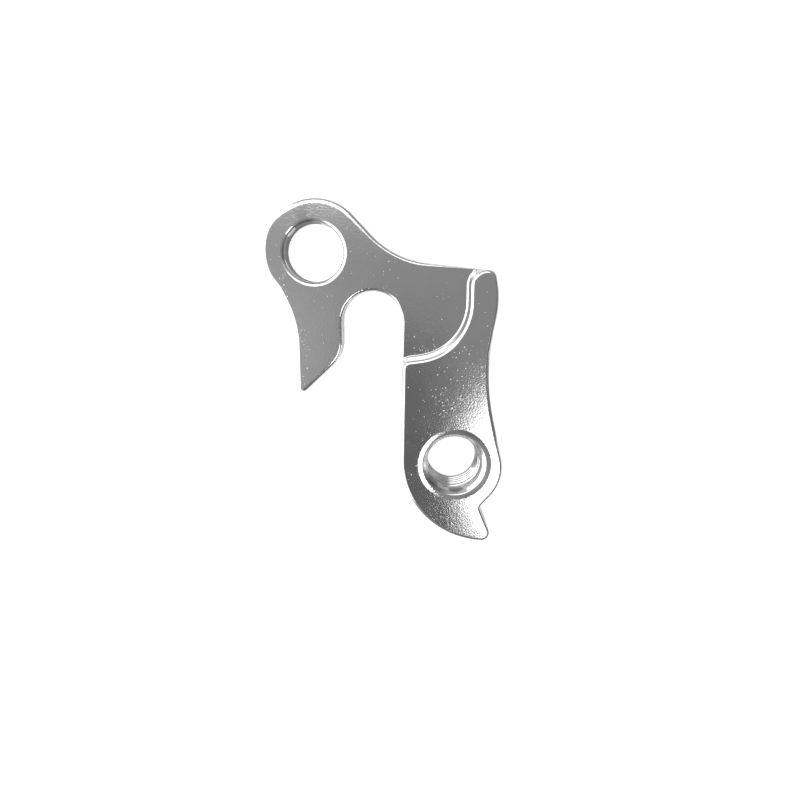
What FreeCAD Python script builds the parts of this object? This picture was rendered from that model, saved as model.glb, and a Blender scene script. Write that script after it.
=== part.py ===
import FreeCAD, Part
import math
import os
import Sketcher

# Rear derailleur hanger for a bicycle frame, in millimetres and degrees: a flat plate with the
# eye for the frame bolt, the axle slot and a finger in front of it, and a leg of twice the
# thickness that steps up from the plate and carries the thread for the derailleur's bolt.
# X points to the rear of the bicycle, Y up and Z to the wheel. The origin is on the thread's
# axis, in the flat outer face.

# Driving dimensions. Places are distances from the thread's axis.
sizes = {
    # Plate and leg
    "PlateThickness": 4.0,
    "LegThickness": 8.0,
    "PlateRim": 0.65,
    "LegRim": 0.65,
    "OuterEdge": 0.25,
    # Eye for the frame bolt, whose bore sits a little forward of the eye's own centre
    "EyeLeft": 24.0,
    "EyeUp": 36.8,
    "EyeRadius": 8.9,
    "BoreLeft": 24.4,
    "BoreUp": 36.7,
    "EyeBore": 10.0,
    "EyeChamfer": 0.8,
    # Axle slot
    "SlotUp": 24.8,
    "SlotRadius": 5.3,
    # Finger in front of the slot
    "FingerLeft": 27.6,
    "FingerTipUp": 13.1,
    "FingerTipRadius": 0.75,
    "FingerAngle": 43.3,
    "FingerFlareRadius": 6.0,
    "NeckRadius": 18.1,
    # Top edge between the eye and the leg
    "ShoulderAngle": 46.5,
    "ShoulderRadius": 15.5,
    "TopEdgeAngle": 6.5,
    "TopCornerUp": 32.3,
    "TopCornerRadius": 1.5,
    # Rear edge of the leg, from its crown down to the thread
    "CrownLeft": 9.95,
    "CrownUp": 28.8,
    "CrownRadius": 17.0,
    "WaistRadius": 39.0,
    "FlareAngle": 12.8,
    "BulgeRight": 0.6,
    "BulgeDown": 0.75,
    "BulgeRadius": 7.95,
    # Notch and hook that the derailleur's angle screw bears on
    "NotchAngle": 48.0,
    "NotchDown": 8.2,
    "NotchRadius": 0.8,
    "HookAngle": 67.5,
    "HookTipRadius": 1.5,
    # Heel, and the leg's front wall up to the slot
    "HeelRight": 5.9,
    "HeelUp": 0.9,
    "HeelRadius": 15.4,
    "WallAngle": 1.0,
    # Step between the plate and the leg
    "StepLeft": 7.3,
    "StepUp": 28.3,
    "StepRadius": 9.65,
    "StepSlope": 6.5,
    "StepCornerRadius": 1.6,
    "StepCrownRadius": 2.6,
    # Thread for the derailleur's bolt at its tapping size, and its countersink in three stages
    "ThreadRadius": 4.5,
    "ThreadLead": 3.8,
    "ThreadChamfer": 0.4,
    "SinkRadius": 5.7,
    "SinkRim": 6.55,
    "SinkDepth": 0.17,
    "MouthRadius": 5.0,
    "MouthDepth": 0.87,
}
threadSeries = "ISOMetricFineProfile"
threadSize = "M10x1.0"

# Kinds of run in an outline that is drawn anticlockwise, and the points of a run
straight, rounded, hollow = 0, 1, -1
startPoint, endPoint, centrePoint = 1, 2, 3
origin = (-1, 1)
verticalAxis = -2

# Lower and rear edge, shared by the plate and the leg: each run's name, its kind and roughly
# where it starts. The dimensions then bring it to its exact place.
legRuns = [
    ("Wall", straight, (-9.3, 16.5)),
    ("Heel", rounded, (-9.5, 0.9)),
    ("HookTip", rounded, (5.5, -14.5)),
    ("Hook", straight, (6.9, -13.0)),
    ("Notch", hollow, (4.8, -8.7)),
    ("NotchSide", straight, (4.9, -7.6)),
    ("Bulge", rounded, (6.6, -6.0)),
    ("Flare", straight, (8.4, 0.6)),
    ("Waist", hollow, (7.0, 6.6)),
    ("Crown", rounded, (6.4, 23.0)),
    ("TopCorner", rounded, (6.4, 32.6)),
    ("TopEdge", straight, (5.2, 33.8)),
]

# Upper and front edge of the plate: shoulder, eye, finger and slot
plateRuns = [
    ("Shoulder", hollow, (-5.0, 35.1)),
    ("ShoulderSide", straight, (-14.5, 40.0)),
    ("Eye", rounded, (-17.5, 43.0)),
    ("Neck", hollow, (-31.0, 31.5)),
    ("Finger", straight, (-27.6, 21.0)),
    ("FingerTip", rounded, (-27.6, 13.1)),
    ("FingerSide", straight, (-26.3, 12.8)),
    ("FingerFlare", rounded, (-21.6, 17.3)),
    ("SlotSide", straight, (-19.7, 21.7)),
    ("Slot", hollow, (-19.7, 24.8)),
]

# Upper and front edge of the leg, where it steps down to the plate
stepRuns = [
    ("StepCrown", rounded, (5.0, 33.9)),
    ("StepSide", straight, (2.3, 31.0)),
    ("Step", hollow, (2.3, 28.3)),
    ("StepTread", straight, (-6.2, 18.7)),
    ("StepCorner", rounded, (-7.8, 18.5)),
]

tolerance = 1e-4

doc = FreeCAD.newDocument("DerailleurHanger")
sheet = doc.addObject("Spreadsheet::Sheet", "Dimensions")
for row, (alias, value) in enumerate(sizes.items(), start=1):
    sheet.set("A%d" % row, alias)
    sheet.set("B%d" % row, str(value))
    sheet.setAlias("B%d" % row, alias)
doc.recompute()

body = doc.addObject("PartDesign::Body", "Hanger")
body.Label = "hanger"
body.Placement = FreeCAD.Placement()


# Sketches

def newSketch(name, plane, lift=None):
    """Start a sketch on one of the body's planes, lifted off it by a formula."""
    sketch = body.newObject("Sketcher::SketchObject", name)
    support = next(item for item in body.Origin.OriginFeatures if item.Role == plane)
    sketch.AttachmentSupport = (support, [""])
    sketch.MapMode = "FlatFace"
    if lift:
        sketch.setExpression(".AttachmentOffset.Base.z", lift)
    return sketch


def drive(sketch, constraint, name, formula=None):
    """Add a dimension to a sketch and bind it to the sheet."""
    index = sketch.addConstraint(constraint)
    sketch.renameConstraint(index, name)
    sketch.setExpression("Constraints." + name, formula or "Dimensions." + name)


def driveLeft(sketch, index, alias, point=centrePoint):
    drive(sketch, Sketcher.Constraint("DistanceX", index, point, *origin, sizes[alias]), alias)


def driveRight(sketch, index, alias, point=centrePoint):
    drive(sketch, Sketcher.Constraint("DistanceX", *origin, index, point, sizes[alias]), alias)


def driveDown(sketch, index, alias, point=centrePoint):
    drive(sketch, Sketcher.Constraint("DistanceY", index, point, *origin, sizes[alias]), alias)


def driveUp(sketch, index, alias, point=centrePoint):
    drive(sketch, Sketcher.Constraint("DistanceY", *origin, index, point, sizes[alias]), alias)


def driveAngle(sketch, index, alias, quarters, sign):
    """Set a straight run's direction: some quarter turns, and the sheet's angle on from there."""
    angle = math.radians(90 * quarters + sign * sizes[alias])
    formula = "%d deg + %d deg * Dimensions.%s" % (90 * quarters, sign, alias)
    drive(sketch, Sketcher.Constraint("Angle", index, angle), alias, formula)


def roughArc(start, end, radius, kind):
    """An arc between two points, to the left of its chord where it is rounded."""
    chord = end - start
    rise = math.sqrt(max(radius ** 2 - (chord.Length / 2) ** 2, 0))
    left = FreeCAD.Vector(-chord.y, chord.x, 0).normalize()
    centre = (start + end) / 2 + left * rise * kind
    circle = Part.Circle(centre, FreeCAD.Vector(0, 0, 1), radius)
    first, last = (start, end) if kind == rounded else (end, start)
    return Part.ArcOfCircle(circle, circle.parameter(first), circle.parameter(last))


def drawOutline(sketch, runs):
    """Draw runs as one closed chain, each tangent to the next, and return their indexes."""
    index = {}
    following = runs[1:] + runs[:1]
    for (name, kind, place), (nextName, nextKind, nextPlace) in zip(runs, following):
        start = FreeCAD.Vector(*place, 0)
        end = FreeCAD.Vector(*nextPlace, 0)
        if kind == straight:
            index[name] = sketch.addGeometry(Part.LineSegment(start, end), False)
        else:
            arc = roughArc(start, end, sizes[name + "Radius"], kind)
            index[name] = sketch.addGeometry(arc, False)
    for (name, kind, place), (nextName, nextKind, nextPlace) in zip(runs, following):
        leaving = startPoint if kind == hollow else endPoint
        entering = endPoint if nextKind == hollow else startPoint
        ends = (index[name], leaving, index[nextName], entering)
        sketch.addConstraint(Sketcher.Constraint("Tangent", *ends))
    for name, kind, place in runs:
        if kind != straight:
            alias = name + "Radius"
            drive(sketch, Sketcher.Constraint("Radius", index[name], sizes[alias]), alias)
    return index


def driveLeg(sketch, index):
    """Place the runs that the plate and the leg share."""
    driveAngle(sketch, index["Wall"], "WallAngle", 3, -1)
    driveRight(sketch, index["Heel"], "HeelRight")
    driveUp(sketch, index["Heel"], "HeelUp")
    driveAngle(sketch, index["Hook"], "HookAngle", 2, -1)
    driveDown(sketch, index["Notch"], "NotchDown")
    driveAngle(sketch, index["NotchSide"], "NotchAngle", 0, 1)
    driveRight(sketch, index["Bulge"], "BulgeRight")
    driveDown(sketch, index["Bulge"], "BulgeDown")
    driveAngle(sketch, index["Flare"], "FlareAngle", 1, 1)
    driveLeft(sketch, index["Crown"], "CrownLeft")
    driveUp(sketch, index["Crown"], "CrownUp")
    driveUp(sketch, index["TopCorner"], "TopCornerUp")
    driveAngle(sketch, index["TopEdge"], "TopEdgeAngle", 2, -1)


def drivePlate(sketch, index):
    """Place the runs of the plate's own edge."""
    driveAngle(sketch, index["ShoulderSide"], "ShoulderAngle", 2, -1)
    driveLeft(sketch, index["Eye"], "EyeLeft")
    driveUp(sketch, index["Eye"], "EyeUp")
    sketch.addConstraint(Sketcher.Constraint("Vertical", index["Finger"]))
    driveLeft(sketch, index["Finger"], "FingerLeft", startPoint)
    driveUp(sketch, index["FingerTip"], "FingerTipUp")
    driveAngle(sketch, index["FingerSide"], "FingerAngle", 0, 1)
    sketch.addConstraint(Sketcher.Constraint("Vertical", index["SlotSide"]))
    driveUp(sketch, index["Slot"], "SlotUp")


def driveStep(sketch, index):
    """Place the runs where the leg steps down to the plate."""
    sketch.addConstraint(Sketcher.Constraint("Vertical", index["StepSide"]))
    driveLeft(sketch, index["Step"], "StepLeft")
    driveUp(sketch, index["Step"], "StepUp")
    driveAngle(sketch, index["StepTread"], "StepSlope", 2, 1)


def drawCircle(sketch, alias, kind):
    """Draw a circle whose radius or diameter is in the sheet."""
    radius = sizes[alias] / (2 if kind == "Diameter" else 1)
    circle = Part.Circle(FreeCAD.Vector(0, 0, 0), FreeCAD.Vector(0, 0, 1), radius)
    index = sketch.addGeometry(circle, False)
    drive(sketch, Sketcher.Constraint(kind, index, sizes[alias]), alias)
    return index


def drawSink(sketch):
    """Half section of the countersink's three stages, closed along the thread's axis."""
    top = sizes["LegThickness"]
    floor = top - sizes["ThreadLead"]
    ring = (sizes["SinkRadius"], top - sizes["SinkDepth"])
    mouth = (sizes["MouthRadius"], top - sizes["MouthDepth"])
    lead = (sizes["ThreadRadius"], floor)
    corners = [(0, top), (sizes["SinkRim"], top), ring, mouth, lead, (0, floor)]
    points = [FreeCAD.Vector(*corner, 0) for corner in corners]
    sides = [Part.LineSegment(*ends) for ends in zip(points, points[1:] + points[:1])]
    face, rim, bevel, cone, tread, axis = sketch.addGeometry(sides, False)
    chain = (face, rim, bevel, cone, tread, axis)
    for side, nextSide in zip(chain, chain[1:] + chain[:1]):
        ends = (side, endPoint, nextSide, startPoint)
        sketch.addConstraint(Sketcher.Constraint("Coincident", *ends))
    sketch.addConstraint(Sketcher.Constraint("Horizontal", face))
    sketch.addConstraint(Sketcher.Constraint("Horizontal", tread))
    sketch.addConstraint(Sketcher.Constraint("Vertical", axis))
    sketch.addConstraint(Sketcher.Constraint("PointOnObject", face, startPoint, verticalAxis))
    driveUp(sketch, face, "LegThickness", startPoint)
    driveRight(sketch, rim, "SinkRim", startPoint)
    driveRight(sketch, bevel, "SinkRadius", startPoint)
    driveRight(sketch, cone, "MouthRadius", startPoint)
    driveRight(sketch, tread, "ThreadRadius", startPoint)
    for corner, alias in ((bevel, "SinkDepth"), (cone, "MouthDepth"), (tread, "ThreadLead")):
        ends = (corner, startPoint, face, startPoint)
        drive(sketch, Sketcher.Constraint("DistanceY", *ends, sizes[alias]), alias)


# Features

def pad(name, sketch, length):
    """Raise a sketch by a formula."""
    feature = body.newObject("PartDesign::Pad", name)
    feature.Profile = sketch
    feature.setExpression("Length", length)
    doc.recompute()
    return feature


def edgesAt(feature, height):
    """Name the edges that lie wholly at one height."""
    names = []
    for number, edge in enumerate(feature.Shape.Edges, start=1):
        low = abs(edge.BoundBox.ZMin - height)
        high = abs(edge.BoundBox.ZMax - height)
        if max(low, high) < tolerance:
            names.append("Edge%d" % number)
    return names


def roundEdges(feature, height, radius):
    """Name the full circles of one radius at one height."""
    names = []
    for name in edgesAt(feature, height):
        edge = feature.Shape.getElement(name)
        if edge.Closed and abs(edge.Curve.Radius - radius) < tolerance:
            names.append(name)
    return names


def dress(kind, name, feature, edges, formula):
    """Round or chamfer the named edges of a feature."""
    item = body.newObject(kind, name)
    item.Base = (feature, edges)
    sizeName = "Radius" if kind == "PartDesign::Fillet" else "Size"
    item.setExpression(sizeName, formula)
    doc.recompute()
    return item


def checkCut(before, after):
    """Stop if a cut has taken nothing away."""
    if after.Shape.Volume >= before.Shape.Volume - tolerance:
        raise RuntimeError(after.Name + " cuts nothing")


# Plate, rounded along its upper rim
plateSketch = newSketch("PlateOutline", "XY_Plane")
plateIndex = drawOutline(plateSketch, legRuns + plateRuns)
driveLeg(plateSketch, plateIndex)
drivePlate(plateSketch, plateIndex)
plate = pad("Plate", plateSketch, "Dimensions.PlateThickness")
plateRimEdges = edgesAt(plate, sizes["PlateThickness"])
plateRim = dress("PartDesign::Fillet", "PlateRim", plate, plateRimEdges, "Dimensions.PlateRim")

# Leg, raised from inside the plate and rounded along its rim
legSketch = newSketch("LegOutline", "XY_Plane", "Dimensions.PlateThickness / 2")
legIndex = drawOutline(legSketch, legRuns + stepRuns)
driveLeg(legSketch, legIndex)
driveStep(legSketch, legIndex)
leg = pad("Leg", legSketch, "Dimensions.LegThickness - Dimensions.PlateThickness / 2")
legRimEdges = edgesAt(leg, sizes["LegThickness"])
legRim = dress("PartDesign::Fillet", "LegRim", leg, legRimEdges, "Dimensions.LegRim")
outerEdges = edgesAt(legRim, 0)
outerEdge = dress("PartDesign::Chamfer", "OuterEdge", legRim, outerEdges, "Dimensions.OuterEdge")

# Eye for the frame bolt, chamfered on the wheel side
eyeSketch = newSketch("EyeCircle", "XY_Plane")
eyeCircle = drawCircle(eyeSketch, "EyeBore", "Diameter")
driveLeft(eyeSketch, eyeCircle, "BoreLeft")
driveUp(eyeSketch, eyeCircle, "BoreUp")
eyeBore = body.newObject("PartDesign::Pocket", "EyeBore")
eyeBore.Profile = eyeSketch
eyeBore.Type = "ThroughAll"
eyeBore.Reversed = True
doc.recompute()
checkCut(outerEdge, eyeBore)
eyeEdges = roundEdges(eyeBore, sizes["PlateThickness"], sizes["EyeBore"] / 2)
eyeChamfer = dress("PartDesign::Chamfer", "EyeChamfer", eyeBore, eyeEdges, "Dimensions.EyeChamfer")

# Thread for the derailleur's bolt, drilled at its tapping size from the wheel side
threadSketch = newSketch("ThreadCircle", "XY_Plane", "Dimensions.LegThickness")
threadCircle = drawCircle(threadSketch, "ThreadRadius", "Radius")
threadSketch.addConstraint(Sketcher.Constraint("Coincident", threadCircle, centrePoint, *origin))
thread = body.newObject("PartDesign::Hole", "Thread")
thread.Profile = threadSketch
doc.recompute()
thread.DepthType = "ThroughAll"
thread.Threaded = True
thread.ThreadType = threadSeries
thread.ThreadSize = threadSize
doc.recompute()
checkCut(eyeChamfer, thread)
threadEdges = roundEdges(thread, 0, sizes["ThreadRadius"])
threadChamfer = dress("PartDesign::Chamfer", "ThreadChamfer", thread, threadEdges,
                      "Dimensions.ThreadChamfer")

# Countersink round the thread's mouth: a shallow ring, a chamfer and a tapered lead-in
sinkSketch = newSketch("SinkProfile", "XZ_Plane")
drawSink(sinkSketch)
sink = body.newObject("PartDesign::Groove", "Sink")
sink.Profile = sinkSketch
sink.ReferenceAxis = (sinkSketch, ["V_Axis"])
doc.recompute()
checkCut(threadChamfer, sink)

# Stop at anything that failed, and write the solid
for item in doc.Objects:
    if {"Invalid", "Error"} & set(item.State):
        raise RuntimeError(item.Name + " failed")
for sketch in doc.findObjects("Sketcher::SketchObject"):
    if not sketch.FullyConstrained:
        raise RuntimeError(sketch.Name + " isn't fully constrained")
if body.Shape.isNull() or not body.Shape.isValid() or len(body.Shape.Solids) != 1:
    raise RuntimeError("the hanger isn't one valid solid")
os.makedirs("parts", exist_ok=True)
body.Shape.exportStep("parts/%s.step" % body.Label)
print(body.Label, "volume", round(body.Shape.Volume, 1), "box", body.Shape.BoundBox)
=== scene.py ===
import math

import bmesh
import bpy
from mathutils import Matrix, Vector, noise


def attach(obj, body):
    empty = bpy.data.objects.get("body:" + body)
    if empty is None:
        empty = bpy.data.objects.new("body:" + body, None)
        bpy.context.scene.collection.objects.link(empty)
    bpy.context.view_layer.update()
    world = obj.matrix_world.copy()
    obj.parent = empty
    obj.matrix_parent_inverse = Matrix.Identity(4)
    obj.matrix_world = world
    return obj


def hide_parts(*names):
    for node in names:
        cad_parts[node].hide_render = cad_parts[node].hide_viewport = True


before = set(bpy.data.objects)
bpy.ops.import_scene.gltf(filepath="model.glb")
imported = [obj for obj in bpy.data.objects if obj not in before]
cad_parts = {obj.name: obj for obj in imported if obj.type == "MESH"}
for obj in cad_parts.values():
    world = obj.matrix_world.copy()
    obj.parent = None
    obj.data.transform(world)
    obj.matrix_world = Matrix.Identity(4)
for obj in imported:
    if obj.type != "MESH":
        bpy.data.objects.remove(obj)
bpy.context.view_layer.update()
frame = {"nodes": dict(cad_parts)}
print("frame loaded:", ", ".join(frame["nodes"]))


# Camera
camera = {
    "place": (-0.0096, 0.0324, 0.1096),        # above the plate, near the slot
    "tilt": -11.5,                             # degrees, leaning towards the thread
    "lens": 27.0,                              # millimetres, like the sensor's width
    "sensor": 36.0,
    "nearest": 0.001,
}


def makeCamera(values):
    data = bpy.data.cameras.new("camera")
    data.lens = values["lens"]
    data.sensor_width = values["sensor"]
    data.clip_start = values["nearest"]
    thing = bpy.data.objects.new("camera", data)
    thing.location = values["place"]
    thing.rotation_euler = (math.radians(values["tilt"]), 0, 0)
    bpy.context.collection.objects.link(thing)
    bpy.context.scene.camera = thing


makeCamera(camera)
print("camera placed")


# Node helpers: an input is given as a value or as the socket that feeds it
def addNode(tree, kind, inputs=None, **settings):
    node = tree.nodes.new(kind)
    for name, value in settings.items():
        setattr(node, name, value)
    for key, value in (inputs or {}).items():
        socket = node.inputs[key]
        if isinstance(value, bpy.types.NodeSocket):
            tree.links.new(value, socket)
        else:
            socket.default_value = value
    return node


def maths(tree, operation, first, second=0.0):
    return addNode(tree, "ShaderNodeMath", {0: first, 1: second}, operation=operation).outputs[0]


def vectorMaths(tree, operation, first, second=(0, 0, 0)):
    return addNode(tree, "ShaderNodeVectorMath", {0: first, 1: second}, operation=operation)


def remap(tree, value, low, high, newLow, newHigh):
    inputs = {"Value": value, "From Min": low, "From Max": high, "To Min": newLow, "To Max": newHigh}
    return addNode(tree, "ShaderNodeMapRange", inputs, interpolation_type="SMOOTHSTEP").outputs["Result"]


def noiseOf(tree, place, scale, detail, **more):
    inputs = {"Vector": place, "Scale": scale, "Detail": detail, **more}
    return addNode(tree, "ShaderNodeTexNoise", inputs).outputs


mixFirst, mixSecond, mixResult = 6, 7, 2       # the colour sockets of a Mix node


def mixColours(tree, share, first, second):
    inputs = {"Factor": share, mixFirst: first, mixSecond: second}
    return addNode(tree, "ShaderNodeMix", inputs, data_type="RGBA").outputs[mixResult]


def newGroup(name, inputs, outputs):
    group = bpy.data.node_groups.new(name, "ShaderNodeTree")
    for label, kind, value in inputs:
        socket = group.interface.new_socket(label, in_out="INPUT", socket_type=kind)
        if value is not None:
            socket.default_value = value
    for label, kind in outputs:
        group.interface.new_socket(label, in_out="OUTPUT", socket_type=kind)
    return group, addNode(group, "NodeGroupInput"), addNode(group, "NodeGroupOutput")


def newMaterial(name):
    material = bpy.data.materials.new(name)
    material.use_nodes = True
    material.node_tree.nodes.clear()
    return material, material.node_tree


def setSurface(tree, shader):
    out = addNode(tree, "ShaderNodeOutputMaterial")
    tree.links.new(shader.outputs[0], out.inputs["Surface"])


def setMetal(tree, colour, rough, normal):
    setSurface(tree, addNode(tree, "ShaderNodeBsdfPrincipled", {
        "Base Color": colour, "Metallic": 1.0, "Roughness": rough, "Normal": normal}))


# World: a dim studio, with patches on the ceiling that the flat faces mirror
world = {
    "overhead": 0.305,
    "towardsLeft": 0.30,
    "towardsRight": -0.10,
    "towardsBack": 0.30,                       # only half-way up
    "towardsFront": -0.12,
    "lowestSight": 0.05,                       # the ceiling ends where the view rises less than this
    "patches": {                               # on a ceiling one metre up
        "dark": {"middle": (0.0, -0.36, 0.0), "reach": (0.10, 0.30, 1.0),
                 "full": 0.87, "none": 1.05, "change": -0.13},
        "pale": {"middle": (-0.22, -0.12, 0.0), "reach": (0.15, 0.15, 1.0),
                 "full": 0.3, "none": 1.2, "change": 0.10},
        "rear": {"middle": (-0.10, 0.25, 0.0), "reach": (0.25, 0.13, 1.0),
                 "full": 0.75, "none": 1.33, "change": 0.32},
    },
}


def makeWorld(values):
    bpy.context.scene.world = bpy.data.worlds.new("studio")
    bpy.context.scene.world.use_nodes = True
    tree = bpy.context.scene.world.node_tree
    tree.nodes.clear()
    direction = addNode(tree, "ShaderNodeTexCoord").outputs["Generated"]
    x, y, z = addNode(tree, "ShaderNodeSeparateXYZ", {0: direction}).outputs
    left = maths(tree, "MULTIPLY", maths(tree, "MINIMUM", x, 0.0), -values["towardsLeft"])
    right = maths(tree, "MULTIPLY", maths(tree, "MAXIMUM", x, 0.0), values["towardsRight"])
    front = maths(tree, "MULTIPLY", maths(tree, "MINIMUM", y, 0.0), -values["towardsFront"])
    rise = maths(tree, "MULTIPLY", z, values["towardsBack"])
    back = maths(tree, "MULTIPLY", maths(tree, "MAXIMUM", y, 0.0), rise)
    across = maths(tree, "ADD", left, right)
    along = maths(tree, "ADD", front, back)
    level = maths(tree, "ADD", maths(tree, "ADD", across, along), values["overhead"])
    height = maths(tree, "MAXIMUM", z, values["lowestSight"])
    ceiling = addNode(tree, "ShaderNodeCombineXYZ", {
        "X": maths(tree, "DIVIDE", x, height), "Y": maths(tree, "DIVIDE", y, height)})
    for patch in values["patches"].values():
        away = vectorMaths(tree, "SUBTRACT", ceiling.outputs[0], patch["middle"])
        away = vectorMaths(tree, "DIVIDE", away.outputs[0], patch["reach"])
        away = vectorMaths(tree, "LENGTH", away.outputs[0])
        change = remap(tree, away.outputs["Value"], patch["full"], patch["none"], patch["change"], 0.0)
        level = maths(tree, "ADD", level, change)
    level = maths(tree, "MAXIMUM", level, 0.0)
    ray = addNode(tree, "ShaderNodeLightPath").outputs["Is Camera Ray"]
    shown = addNode(tree, "ShaderNodeMix", {"Factor": ray, "A": level, "B": 1.0}, data_type="FLOAT")
    light = addNode(tree, "ShaderNodeBackground", {"Color": (1, 1, 1, 1), "Strength": shown.outputs[0]})
    out = addNode(tree, "ShaderNodeOutputWorld")
    tree.links.new(light.outputs[0], out.inputs["Surface"])


makeWorld(world)
print("studio made")


# Round soft lamps, aimed at a point between the thread and the slot. A lamp's bearing is turned
# from the rear of the bicycle, in degrees.
lampsAim = (-0.0096, 0.0162, 0.0)
lamps = {
    "rearLamp": {"bearing": -45.5, "fromOverhead": 28.0, "away": 0.455, "radius": 0.094, "power": 0.28},
    "backLamp": {"bearing": 100.0, "fromOverhead": 35.0, "away": 0.40, "radius": 0.155, "power": 0.36},
    "leftLamp": {"bearing": 155.0, "fromOverhead": 65.0, "away": 0.42, "radius": 0.25, "power": 0.92},
    "frontLamp": {"bearing": 197.0, "fromOverhead": 60.0, "away": 0.38, "radius": 0.25, "power": 0.92},
}


def makeLamp(name, values):
    data = bpy.data.lights.new(name, "AREA")
    data.shape = "DISK"
    data.size = 2 * values["radius"]
    data.energy = values["power"]
    tilt, bearing = math.radians(values["fromOverhead"]), math.radians(values["bearing"])
    level = math.sin(tilt)
    towards = Vector((level * math.cos(bearing), level * math.sin(bearing), math.cos(tilt)))
    thing = bpy.data.objects.new(name, data)
    thing.location = Vector(lampsAim) + values["away"] * towards
    thing.rotation_euler = towards.to_track_quat("Z", "Y").to_euler()
    bpy.context.collection.objects.link(thing)


for name, values in lamps.items():
    makeLamp(name, values)
print("lamps set:", len(lamps))


# Floor
floor = {
    "size": 1.6,
    "drop": 0.00003,                           # below the part's flat face
    "colour": (0.8, 0.8, 0.8, 1),
    "shown": 0.72,                             # added for the camera, so that the floor is white
    "mirrored": 0.17,                          # added for the metal's reflections
}


def makeFloor(values):
    shape = bmesh.new()
    bmesh.ops.create_grid(shape, x_segments=1, y_segments=1, size=values["size"] / 2)
    bmesh.ops.translate(shape, verts=shape.verts, vec=(0, 0, -values["drop"]))
    mesh = bpy.data.meshes.new("floor")
    shape.to_mesh(mesh)
    shape.free()
    thing = bpy.data.objects.new("floor", mesh)
    bpy.context.collection.objects.link(thing)
    material, tree = newMaterial("paleFloor")
    matt = addNode(tree, "ShaderNodeBsdfDiffuse", {"Color": values["colour"]})
    path = addNode(tree, "ShaderNodeLightPath")
    seen = maths(tree, "MULTIPLY", path.outputs["Is Camera Ray"], values["shown"])
    mirrored = maths(tree, "MULTIPLY", path.outputs["Is Glossy Ray"], values["mirrored"])
    glow = addNode(tree, "ShaderNodeEmission", {"Strength": maths(tree, "ADD", seen, mirrored)})
    setSurface(tree, addNode(tree, "ShaderNodeAddShader", {0: matt.outputs[0], 1: glow.outputs[0]}))
    mesh.materials.append(material)


makeFloor(floor)
print("floor laid")


# Cast grain: fine rippling of the skin, small specks that crowd in places, and a broad mottle.
# A scale is in waves or cells to the metre.
castGrain = {
    "fineDetail": 3.0,
    "fineRoughness": 0.6,
    "stirScale": 4500.0,                       # bends the specks' outlines
    "stirReach": 0.0002,
    "crowdScale": 160.0,
    "crowdRange": (0.35, 0.65),                # of the crowding noise
    "crowding": (0.2, 2.0),                    # times the share of specks, over that range
    "speckReach": 0.4,                         # of a speck's cell
    "mottleScale": 260.0,
    "mottleDetail": 4.0,
}


def makeGrainGroup(values):
    inputs = [
        ("Vector", "NodeSocketVector", None),
        ("Grain Size", "NodeSocketFloat", 0.0003),
        ("Speck Size", "NodeSocketFloat", 0.0004),
        ("Speck Share", "NodeSocketFloat", 0.05),
    ]
    outputs = [("Height", "NodeSocketFloat"), ("Specks", "NodeSocketFloat"), ("Mottle", "NodeSocketFloat")]
    group, given, result = newGroup("castGrain", inputs, outputs)
    place = given.outputs["Vector"]
    grainScale = maths(group, "DIVIDE", 1.0, given.outputs["Grain Size"])
    speckScale = maths(group, "DIVIDE", 1.0, given.outputs["Speck Size"])
    fine = noiseOf(group, place, grainScale, values["fineDetail"], Roughness=values["fineRoughness"])
    stir = noiseOf(group, place, values["stirScale"], 1.0)
    shift = vectorMaths(group, "MULTIPLY", stir["Color"], (values["stirReach"],) * 3)
    stirred = vectorMaths(group, "ADD", place, shift.outputs[0])
    cells = addNode(group, "ShaderNodeTexVoronoi", {"Vector": stirred.outputs[0], "Scale": speckScale})
    parts = addNode(group, "ShaderNodeSeparateColor", {0: cells.outputs["Color"]}).outputs
    chance, depth = parts["Red"], parts["Green"]
    crowds = noiseOf(group, place, values["crowdScale"], 1.0)
    crowding = remap(group, crowds[0], *values["crowdRange"], *values["crowding"])
    share = maths(group, "MULTIPLY", given.outputs["Speck Share"], crowding)
    chosen = maths(group, "LESS_THAN", chance, share)
    dome = remap(group, cells.outputs["Distance"], 0.0, values["speckReach"], 1.0, 0.0)
    specks = maths(group, "MULTIPLY", maths(group, "MULTIPLY", dome, chosen), depth)
    broad = noiseOf(group, place, values["mottleScale"], values["mottleDetail"])
    group.links.new(fine[0], result.inputs["Height"])
    group.links.new(specks, result.inputs["Specks"])
    group.links.new(broad[0], result.inputs["Mottle"])
    return group


# A ragged spot: its strength inside, falling to nothing between the shares full and none of its reach
# It shapes the spots of painted shade in the machined finish and the crowds of specks on the cast skin
raggedSpot = {
    "raggedScale": 1200.0,
    "raggedDetail": 4.0,
}


def makeSpotGroup(values):
    inputs = [
        ("Vector", "NodeSocketVector", None),
        ("Middle", "NodeSocketVector", None),
        ("Reach", "NodeSocketVector", (1.0, 1.0, 1.0)),
        ("Full", "NodeSocketFloat", 0.8),
        ("None", "NodeSocketFloat", 1.0),
        ("Ragged", "NodeSocketFloat", 0.1),
        ("Strength", "NodeSocketFloat", 1.0),
    ]
    group, given, result = newGroup("raggedSpot", inputs, [("Mask", "NodeSocketFloat")])
    place = given.outputs["Vector"]
    away = vectorMaths(group, "SUBTRACT", place, given.outputs["Middle"])
    away = vectorMaths(group, "DIVIDE", away.outputs[0], given.outputs["Reach"])
    away = vectorMaths(group, "LENGTH", away.outputs[0])
    jitterNoise = noiseOf(group, place, values["raggedScale"], values["raggedDetail"])
    ragged = maths(group, "MULTIPLY", maths(group, "SUBTRACT", jitterNoise[0], 0.5), given.outputs["Ragged"])
    away = maths(group, "ADD", away.outputs["Value"], ragged)
    full, none, strength = (given.outputs[name] for name in ("Full", "None", "Strength"))
    group.links.new(remap(group, away, full, none, strength, 0.0), result.inputs["Mask"])
    return group


grainGroup = makeGrainGroup(castGrain)
spotGroup = makeSpotGroup(raggedSpot)


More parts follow.
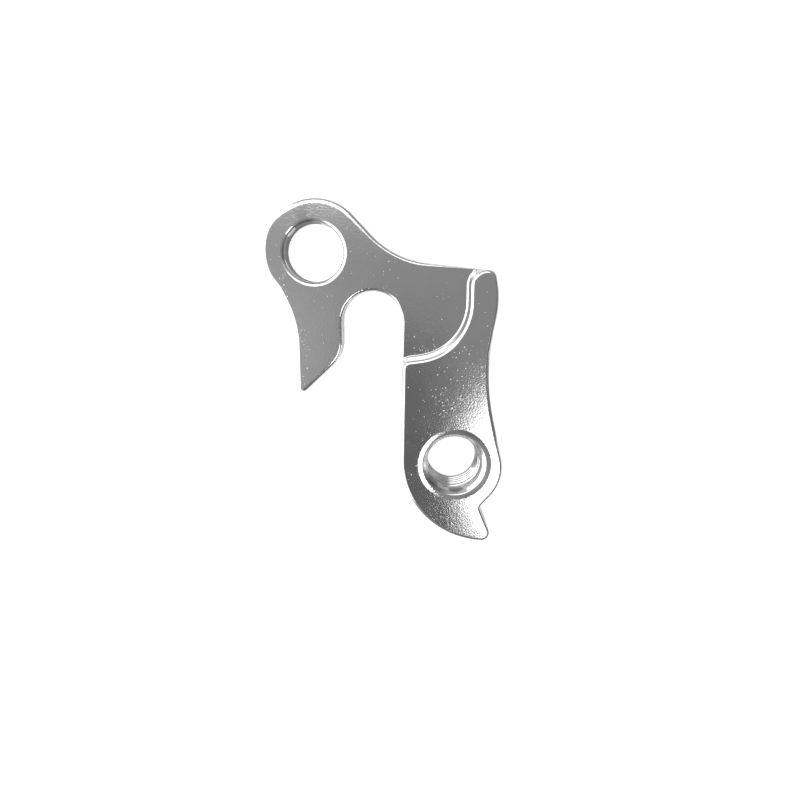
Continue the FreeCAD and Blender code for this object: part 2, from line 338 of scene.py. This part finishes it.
def strongestSpot(tree, place, spots):
    strongest = 0.0
    for spot in spots:
        group = addNode(tree, "ShaderNodeGroup", {"Vector": place, **spot}, node_tree=spotGroup)
        strongest = maths(tree, "MAXIMUM", group.outputs["Mask"], strongest)
    return strongest


castSkin = {
    "darkColour": (0.73, 0.73, 0.73, 1),
    "paleColour": (0.79, 0.79, 0.785, 1),
    "grainSize": 0.00032,
    "grainDepth": 0.000012,
    "waveDepth": 0.000012,
    "speckSize": 0.00028,
    "speckShare": 0.06,
    "speckDepth": 0.000012,
    "crowdedShare": 0.28,                      # added where the specks crowd
    "crowdedDepth": 0.000008,                  # added there too
    "speckCrowds": [                           # by the finger's edge, the eye, the step and on the leg
        {"Middle": (-0.0270, 0.0180, 0.0040), "Reach": (0.0024, 0.0100, 0.01),
         "Full": 0.3, "None": 1.0, "Ragged": 0.5, "Strength": 1.0},
        {"Middle": (-0.0300, 0.0330, 0.0040), "Reach": (0.0022, 0.0070, 0.01),
         "Full": 0.3, "None": 1.0, "Ragged": 0.5, "Strength": 1.0},
        {"Middle": (-0.0045, 0.0195, 0.0040), "Reach": (0.0050, 0.0022, 0.002),
         "Full": 0.4, "None": 1.0, "Ragged": 0.5, "Strength": 1.0},
        {"Middle": (-0.0010, 0.0130, 0.0080), "Reach": (0.0045, 0.0065, 0.01),
         "Full": 0.2, "None": 1.0, "Ragged": 0.6, "Strength": 0.25},
    ],
    # the specks are real pits made by the bumps, and their near-white colour is a painted glint
    "speckGlintColour": (0.98, 0.98, 0.975, 1),
    "speckGlintPaling": 2.5,                        # how soon a speck reaches its colour
    "smoothest": 0.07,
    "roughest": 0.09,
    "mottleRange": (0.3, 0.7),                 # of the mottle, from the smoothest to the roughest
}


def makeCastMaterial(name, values):
    material, tree = newMaterial(name)
    place = addNode(tree, "ShaderNodeTexCoord").outputs["Object"]
    crowded = strongestSpot(tree, place, values["speckCrowds"])
    moreSpecks = maths(tree, "MULTIPLY", crowded, values["crowdedShare"])
    moreDepth = maths(tree, "MULTIPLY", crowded, values["crowdedDepth"])
    depth = maths(tree, "ADD", moreDepth, values["speckDepth"])
    grain = addNode(tree, "ShaderNodeGroup", {
        "Vector": place, "Grain Size": values["grainSize"], "Speck Size": values["speckSize"],
        "Speck Share": maths(tree, "ADD", moreSpecks, values["speckShare"])}, node_tree=grainGroup)
    mottle, specks = grain.outputs["Mottle"], grain.outputs["Specks"]
    colour = mixColours(tree, mottle, values["darkColour"], values["paleColour"])
    # painted glints: the colour pales towards near white on the specks
    glintShare = maths(tree, "MULTIPLY", specks, values["speckGlintPaling"])
    glintedColour = mixColours(tree, glintShare, colour, values["speckGlintColour"])
    rough = remap(tree, mottle, *values["mottleRange"], values["smoothest"], values["roughest"])
    wave = addNode(tree, "ShaderNodeBump", {"Height": mottle, "Distance": values["waveDepth"]})
    ripple = addNode(tree, "ShaderNodeBump", {
        "Height": grain.outputs["Height"], "Distance": values["grainDepth"], "Normal": wave.outputs[0]})
    bumps = addNode(tree, "ShaderNodeBump", {
        "Height": specks, "Distance": depth, "Normal": ripple.outputs[0]})
    setMetal(tree, glintedColour, rough, bumps.outputs[0])
    return material


# Lathe marks: rings that follow the distance from the thread's axis and the height
latheMarks = {
    "detail": 2.0,
}


def makeMarksGroup(values):
    inputs = [("Vector", "NodeSocketVector", None), ("Spacing", "NodeSocketFloat", 0.0001)]
    group, given, result = newGroup("latheMarks", inputs, [("Height", "NodeSocketFloat")])
    x, y, z = addNode(group, "ShaderNodeSeparateXYZ", {0: given.outputs["Vector"]}).outputs
    across = addNode(group, "ShaderNodeCombineXYZ", {"X": x, "Y": y})
    away = vectorMaths(group, "LENGTH", across.outputs[0])
    along = addNode(group, "ShaderNodeCombineXYZ", {"X": maths(group, "ADD", away.outputs["Value"], z)})
    scale = maths(group, "DIVIDE", 1.0, given.outputs["Spacing"])
    marks = noiseOf(group, along.outputs[0], scale, values["detail"])
    group.links.new(marks[0], result.inputs["Height"])
    return group


marksGroup = makeMarksGroup(latheMarks)

# Machined finish with painted shade: its own bright colour where it is unshaded, and a dark colour painted
# in shade spots, which are also rougher
threadSkin = {
    "unshadedColour": (0.86, 0.86, 0.855, 1),
    # painted shade: the dark colour put in the thread's shade spots
    "paintedShadeColour": (0.20, 0.20, 0.20, 1),
    "unshadedRoughness": 0.12,
    "shadeSpotRoughness": 0.30,
    "markSpacing": 0.00012,
    "markDepth": 0.000002,
    # painted shade at the thread's lower left and at its bottom
    "paintedShadeSpots": [
        {"Middle": (-0.0038, -0.0031, 0.0068), "Reach": (0.0023, 0.0021, 0.0016),
         "Full": 0.5, "None": 1.2, "Ragged": 0.8, "Strength": 1.0},
        {"Middle": (-0.0036, -0.0040, 0.0035), "Reach": (0.0035, 0.0035, 0.0070),
         "Full": 0.7, "None": 1.0, "Ragged": 0.4, "Strength": 0.6},
        {"Middle": (0.0004, -0.0049, 0.0069), "Reach": (0.0015, 0.0012, 0.0007),
         "Full": 0.7, "None": 1.1, "Ragged": 0.3, "Strength": 0.8},
    ],
    "unshadedSpots": [],
}
boreSkin = {
    "unshadedColour": (0.90, 0.90, 0.895, 1),
    # painted shade: the dark colour put in the bore's shade spots
    "paintedShadeColour": (0.28, 0.28, 0.28, 1),
    "unshadedRoughness": 0.15,
    "shadeSpotRoughness": 0.40,
    "markSpacing": 0.00012,
    "markDepth": 0.000002,
    # painted shade over the bore's lower wall and over the upper left of its chamfer
    "paintedShadeSpots": [
        {"Middle": (-0.0244, 0.0367, 0.0015), "Reach": (0.02, 0.02, 0.0020),
         "Full": 0.95, "None": 1.05, "Ragged": 0.0, "Strength": 1.0},
        {"Middle": (-0.0287, 0.0399, 0.0038), "Reach": (0.0048, 0.0048, 0.0048),
         "Full": 0.88, "None": 1.1, "Ragged": 0.15, "Strength": 0.9},
    ],
    "unshadedSpots": [                            # these are kept out of the painted shade inside a shade spot
        {"Middle": (-0.0283, 0.0402, 0.0034), "Reach": (0.0010, 0.0010, 0.0016),
         "Full": 0.8, "None": 1.1, "Ragged": 0.6, "Strength": 1.0},
        {"Middle": (-0.0167, 0.0388, 0.0020), "Reach": (0.0070, 0.0070, 0.02),
         "Full": 0.97, "None": 1.05, "Ragged": 0.1, "Strength": 1.0},
    ],
}


def makeMachinedMaterial(name, values):
    material, tree = newMaterial(name)
    place = addNode(tree, "ShaderNodeTexCoord").outputs["Object"]
    kept = maths(tree, "SUBTRACT", 1.0, strongestSpot(tree, place, values["unshadedSpots"]))
    # painted shade: the colour darkens inside the listed spots, except where a spot keeps it unshaded
    shadeShare = maths(tree, "MULTIPLY", strongestSpot(tree, place, values["paintedShadeSpots"]), kept)
    colour = mixColours(tree, shadeShare, values["unshadedColour"], values["paintedShadeColour"])
    rough = remap(tree, shadeShare, 0.0, 1.0, values["unshadedRoughness"], values["shadeSpotRoughness"])
    marks = addNode(tree, "ShaderNodeGroup", {"Vector": place, "Spacing": values["markSpacing"]},
                    node_tree=marksGroup)
    bump = addNode(tree, "ShaderNodeBump", {
        "Height": marks.outputs["Height"], "Distance": values["markDepth"]})
    setMetal(tree, colour, rough, bump.outputs[0])
    return material


# The hanger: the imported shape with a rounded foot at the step, reshaped rims and finer holes
hanger = {
    "plateTop": 0.004,
    "legTop": 0.008,
    "rimRound": 0.00065,
    "footRound": 0.0002,
    "footLean": 0.00022,                       # the step's draft, at its foot
    "footSegments": 4,
    "longestRimEdge": 0.006,                   # a longer one is cut, so that it can change along its length
    "longRimCuts": 3,
    "chamferRun": 1.3,                         # inwards for each millimetre of a chamfer's height
    "sharpFrom": 34.0,                         # degrees
    "faceWeight": 100,                         # large faces decide the shading near their edges

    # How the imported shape's vertices and faces are told apart
    "sameHeight": 0.000002,
    "mergeWithin": 0.000001,
    "flatWithin": 0.15,                        # degrees
    "holeSlack": 0.00001,
    "holeMargin": 0.0002,                      # rims start this far from a hole
    "rimReach": 1.5,                           # rounding widths that a rim may reach in from the outline
    "levelFrom": 0.999,                        # least upward part of the normal of a flat top
    "upwardFrom": 0.3,                         # and of a face that meets the step's foot
    "uprightTo": 0.05,                         # and the most for a wall
    "rimFaces": (0.02, 0.9995),                # and both for a rounded rim

    # Stretches where the rim isn't the plain rounding. The box is given by two corners, and a
    # change grows from nothing at its sides over the distance fadeIn. It is for the parts of the
    # rim that look towards facing: the cosines in faces say where it is nothing and where full.
    # A round profile keeps its arc and gets the share of its width, a soft one runs out to the
    # share of its width at the top, and a chamfer is straight, over the share of the height.
    "rims": {
        "plateLeft": {"top": "plateTop", "box": ((-0.036, -0.002), (-0.007, 0.048)), "fadeIn": 0.001,
                      "facing": (-1, 0), "faces": (0.7, 0.9), "profile": "round", "share": 0.4},
        "plateBack": {"top": "plateTop", "box": ((-0.042, 0.030), (-0.0125, 0.054)), "fadeIn": 0.006,
                      "facing": (0.42, 0.91), "faces": (0.3, 0.6), "profile": "soft", "share": 1.42},
        "plateRear": {"top": "plateTop", "box": ((-0.0080, 0.020), (0.012, 0.048)), "fadeIn": 0.0105,
                      "facing": (0, 1), "faces": (0.7, 0.9), "profile": "round", "share": 0.5},
        "crown": {"top": "legTop", "box": ((0.0, 0.020), (0.006, 0.033)), "fadeIn": 0.0005,
                  "facing": (-1, 0), "faces": (0.7, 0.9), "profile": "round", "share": 0.8},
        "legRear": {"top": "legTop", "box": ((0.003, 0.002), (0.015, 0.022)), "fadeIn": 0.003,
                    "facing": (1, 0), "faces": (0.6, 0.8), "profile": "chamfer", "share": 0.8},
    },

    # Holes, each turned from its upper rim down through a half section of radius and height
    "eye": {
        "centre": (-0.0244, 0.0367),
        "section": [(0.0058, 0.004), (0.0053, 0.00376), (0.0051, 0.00352), (0.0050, 0.0032),
                    (0.0050, 0.0)],
        "step": 0.0005,
        "rimCuts": 1,
        "rimRagged": 0.0,
        "skinReach": 0.00585,
        "skinSpan": (-0.0001, 0.0041),
    },
    "thread": {
        "centre": (0.0, 0.0),
        "section": [(0.0065, 0.008), (0.0064, 0.007985), (0.0061, 0.00794), (0.0058, 0.00789),
                    (0.00562, 0.00785), (0.00555, 0.0078), (0.0055, 0.00775), (0.0050, 0.00725),
                    (0.0045, 0.0042), (0.0045, 0.0004)],
        "step": 0.0001,
        "rimCuts": 3,
        "rimRagged": 0.00018,
        "rootRadius": 0.0050,
        "pitch": 0.001,
        "crestShare": 0.25,                    # of half the pitch, flat at the crest
        "rootShare": 0.875,                    # the root is flat beyond this share of it
        "fade": 0.0004,                        # the grooves run out over this height at the bottom
        "skinReach": 0.00575,
        "skinSpan": (0.0003, 0.0079),
    },
    "raggedScale": 2500,
    "raggedNoise": (0.5, 2.5, 3),              # dimension, lacunarity and octaves
}


def flatTop(face, height, values):
    level = face.normal.z > values["levelFrom"]
    return level and abs(face.calc_center_median().z - height) < values["sameHeight"]


def stepWall(face, values):
    return abs(face.normal.z) < values["uprightTo"] and face.calc_center_median().z > values["plateTop"]


def footEdges(shape, values):
    found = []
    for edge in shape.edges:
        if any(abs(v.co.z - values["plateTop"]) > values["sameHeight"] for v in edge.verts):
            continue
        onPlate = any(flatTop(face, values["plateTop"], values) for face in edge.link_faces)
        if onPlate and any(stepWall(face, values) for face in edge.link_faces):
            found.append(edge)
    return found


def leanFoot(shape, values):
    low = values["plateTop"] - values["rimRound"]
    moves = {}
    for v in shape.verts:
        if low < v.co.z < values["plateTop"] + values["sameHeight"]:
            walls = [face.normal for face in v.link_faces if stepWall(face, values)]
            if walls and any(face.normal.z > values["upwardFrom"] for face in v.link_faces):
                away = sum(walls, Vector()).normalized() * values["footLean"]
                moves[v] = away * min((v.co.z - low) / values["rimRound"], 1)
    for v, move in moves.items():
        v.co.xy += move.xy
    print("foot verts moved:", len(moves))


def fromCentre(v, centre):
    return math.hypot(v.co.x - centre[0], v.co.y - centre[1])


def setRadius(v, centre, radius):
    scale = radius / fromCentre(v, centre)
    v.co.x = centre[0] + (v.co.x - centre[0]) * scale
    v.co.y = centre[1] + (v.co.y - centre[1]) * scale


def outsideHoles(v, values):
    return all(fromCentre(v, hole["centre"]) > hole["section"][0][0] + values["holeMargin"]
               for hole in (values["eye"], values["thread"]))


def rimVerts(shape, top, values):
    steepest, flattest = values["rimFaces"]
    found = set()
    for face in shape.faces:
        middle = face.calc_center_median().z
        if top - values["rimRound"] < middle < top and steepest < face.normal.z < flattest:
            found.update(v for v in face.verts if outsideHoles(v, values))
    return found


def cutLongRims(shape, values):
    for top in (values["plateTop"], values["legTop"]):
        rim = rimVerts(shape, top, values)
        found = [e for e in shape.edges
                 if e.calc_length() > values["longestRimEdge"] and rim.issuperset(e.verts)
                 and abs(e.verts[0].co.z - e.verts[1].co.z) < values["sameHeight"]]
        bmesh.ops.subdivide_edges(shape, edges=found, cuts=values["longRimCuts"])
        print("long rim edges cut:", len(found))


def outlineAt(shape, level, values):
    return [(e.verts[0].co.xy, e.verts[1].co.xy) for e in shape.edges
            if all(abs(v.co.z - level) < values["sameHeight"] for v in e.verts)]


def nearestOf(point, outline):
    best, shortest = None, math.inf
    for first, second in outline:
        along = second - first
        share = min(max((point - first).dot(along) / along.length_squared, 0), 1)
        away = (point - first - along * share).length
        if away < shortest:
            best, shortest = first + along * share, away
    return best


# How far inwards of the outline a rim vertex belongs. Its level is 0 at the rim's foot and 1 at its top.
def rimInwards(rim, inwards, level, values):
    share = rim["share"]
    if rim["profile"] == "round":
        return inwards * share
    if rim["profile"] == "soft":
        return inwards * (1 + (share - 1) * level ** 2)
    return max(level - 1 + share, 0) * values["rimRound"] * values["chamferRun"]


def reshapeRim(shape, rim, outline, values):
    top, width = values[rim["top"]], values["rimRound"]
    (left, front), (right, back) = rim["box"]
    facing = Vector(rim["facing"])
    none, full = rim["faces"]
    moves = {}
    for v in rimVerts(shape, top, values):
        inside = min(v.co.x - left, right - v.co.x, v.co.y - front, back - v.co.y)
        if inside <= 0:
            continue
        inwards = v.co.xy - nearestOf(v.co.xy, outline)
        if values["sameHeight"] < inwards.length < values["rimReach"] * width:
            strength = min(max((-inwards.normalized().dot(facing) - none) / (full - none), 0), 1)
            strength *= min(inside / rim["fadeIn"], 1)
            level = 1 - (top - v.co.z) / width
            wanted = rimInwards(rim, inwards.length, level, values)
            moves[v] = inwards.normalized() * (wanted - inwards.length) * strength
    for v, move in moves.items():
        v.co.xy += move
    print("rim verts reshaped:", len(moves))


def stepsOf(section, step):
    for (r, z), (nextR, nextZ) in zip(section, section[1:]):
        count = max(round(math.dist((r, z), (nextR, nextZ)) / step), 1)
        for i in range(1, count + 1):
            yield r + (nextR - r) * i / count, z + (nextZ - z) * i / count


def vertsOf(edges):
    return {v for edge in edges for v in edge.verts}


def openEdges(shape):
    return [edge for edge in shape.edges if edge.is_boundary]


# The wall of a hole is taken out and turned again in finer steps
def turnHole(shape, hole, values):
    centre, section, slack = hole["centre"], hole["section"], values["holeSlack"]
    topRadius, top = section[0]
    bottomRadius, bottom = section[-1]
    sides = [face for face in shape.faces if all(
        fromCentre(v, centre) < topRadius + slack and bottom - slack < v.co.z < top + slack
        for v in face.verts)]
    bmesh.ops.delete(shape, geom=sides, context="FACES")
    bmesh.ops.subdivide_edges(shape, edges=openEdges(shape), cuts=hole["rimCuts"])
    middle = (top + bottom) / 2
    upper = [edge for edge in openEdges(shape) if edge.verts[0].co.z > middle]
    lower = [edge for edge in openEdges(shape) if edge.verts[0].co.z < middle]
    print("hole:", len(sides), "faces go, rims of", len(upper), "and", len(lower), "edges")
    for v in vertsOf(lower):
        setRadius(v, centre, bottomRadius)
    for v in vertsOf(upper):
        ragged = noise.fractal(v.co * values["raggedScale"], *values["raggedNoise"])
        setRadius(v, centre, topRadius + hole["rimRagged"] * ragged)
    made = set()
    for radius, height in list(stepsOf(section, hole["step"]))[:-1]:
        grown = bmesh.ops.extrude_edge_only(shape, edges=upper)["geom"]
        upper = [g for g in grown if isinstance(g, bmesh.types.BMEdge) and g.is_boundary]
        for v in vertsOf(upper):
            setRadius(v, centre, radius)
            v.co.z = height
            made.add(v)
    bmesh.ops.bridge_loops(shape, edges=upper + lower)
    return made


def cutThread(verts, hole):
    bore, bottom = hole["section"][-1]
    crest = hole["crestShare"]
    for v in verts:
        turn = math.atan2(v.co.y, v.co.x) / math.tau
        phase = (v.co.z / hole["pitch"] - turn) % 1.0
        groove = 1 - abs(2 * phase - 1)
        groove = min(max((groove - crest) / (hole["rootShare"] - crest), 0), 1)
        groove *= min((v.co.z - bottom) / hole["fade"], 1)
        root = bore + (hole["rootRadius"] - bore) * groove
        if root > fromCentre(v, hole["centre"]):
            setRadius(v, hole["centre"], root)


def insideHole(face, hole):
    low, high = hole["skinSpan"]
    return all(fromCentre(v, hole["centre"]) < hole["skinReach"] and low < v.co.z < high
               for v in face.verts)


# The material's place on the piece: 0 for the cast skin, 1 in the thread and 2 in the eye
def skinOf(face, values):
    if insideHole(face, values["thread"]):
        return 1
    return 2 if insideHole(face, values["eye"]) else 0


def makeHanger(values):
    shape = bmesh.new()
    shape.from_mesh(frame["nodes"]["hanger"].data)
    bmesh.ops.remove_doubles(shape, verts=shape.verts, dist=values["mergeWithin"])
    outlines = {top: outlineAt(shape, values[top] - values["rimRound"], values)
                for top in ("plateTop", "legTop")}
    bmesh.ops.dissolve_limit(shape, angle_limit=math.radians(values["flatWithin"]),
                             verts=shape.verts, edges=shape.edges)
    shape.normal_update()
    feet = footEdges(shape, values)
    print("foot edges:", len(feet))
    leanFoot(shape, values)
    bmesh.ops.bevel(shape, geom=feet, offset=values["footRound"], segments=values["footSegments"],
                    profile=0.5, affect="EDGES", material=-1, clamp_overlap=True)
    shape.normal_update()
    cutLongRims(shape, values)
    for rim in values["rims"].values():
        shape.normal_update()
        reshapeRim(shape, rim, outlines[rim["top"]], values)
    turnHole(shape, values["eye"], values)
    cutThread(turnHole(shape, values["thread"], values), values["thread"])
    bmesh.ops.recalc_face_normals(shape, faces=shape.faces)
    sharp = math.radians(values["sharpFrom"])
    for face in shape.faces:
        face.smooth = True
        face.material_index = skinOf(face, values)
    for edge in shape.edges:
        machined = all(face.material_index for face in edge.link_faces)
        edge.smooth = machined or edge.calc_face_angle(math.pi) < sharp
    mesh = bpy.data.meshes.new("castHanger")
    shape.to_mesh(mesh)
    leaks = sum(1 for edge in shape.edges if not edge.is_manifold)
    print("open edges:", leaks, "faces:", len(shape.faces))
    shape.free()
    piece = bpy.data.objects.new("castHanger", mesh)
    bpy.context.collection.objects.link(piece)
    weigh = piece.modifiers.new("weighNormals", "WEIGHTED_NORMAL")
    weigh.keep_sharp = True
    weigh.weight = values["faceWeight"]
    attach(piece, "root")
    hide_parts("hanger")
    return piece


castHanger = makeHanger(hanger)
castHanger.data.materials.append(makeCastMaterial("castAluminium", castSkin))
castHanger.data.materials.append(makeMachinedMaterial("threadAluminium", threadSkin))
castHanger.data.materials.append(makeMachinedMaterial("boreAluminium", boreSkin))
print("hanger made")


scene = bpy.context.scene
scene.view_settings.view_transform = "Standard"
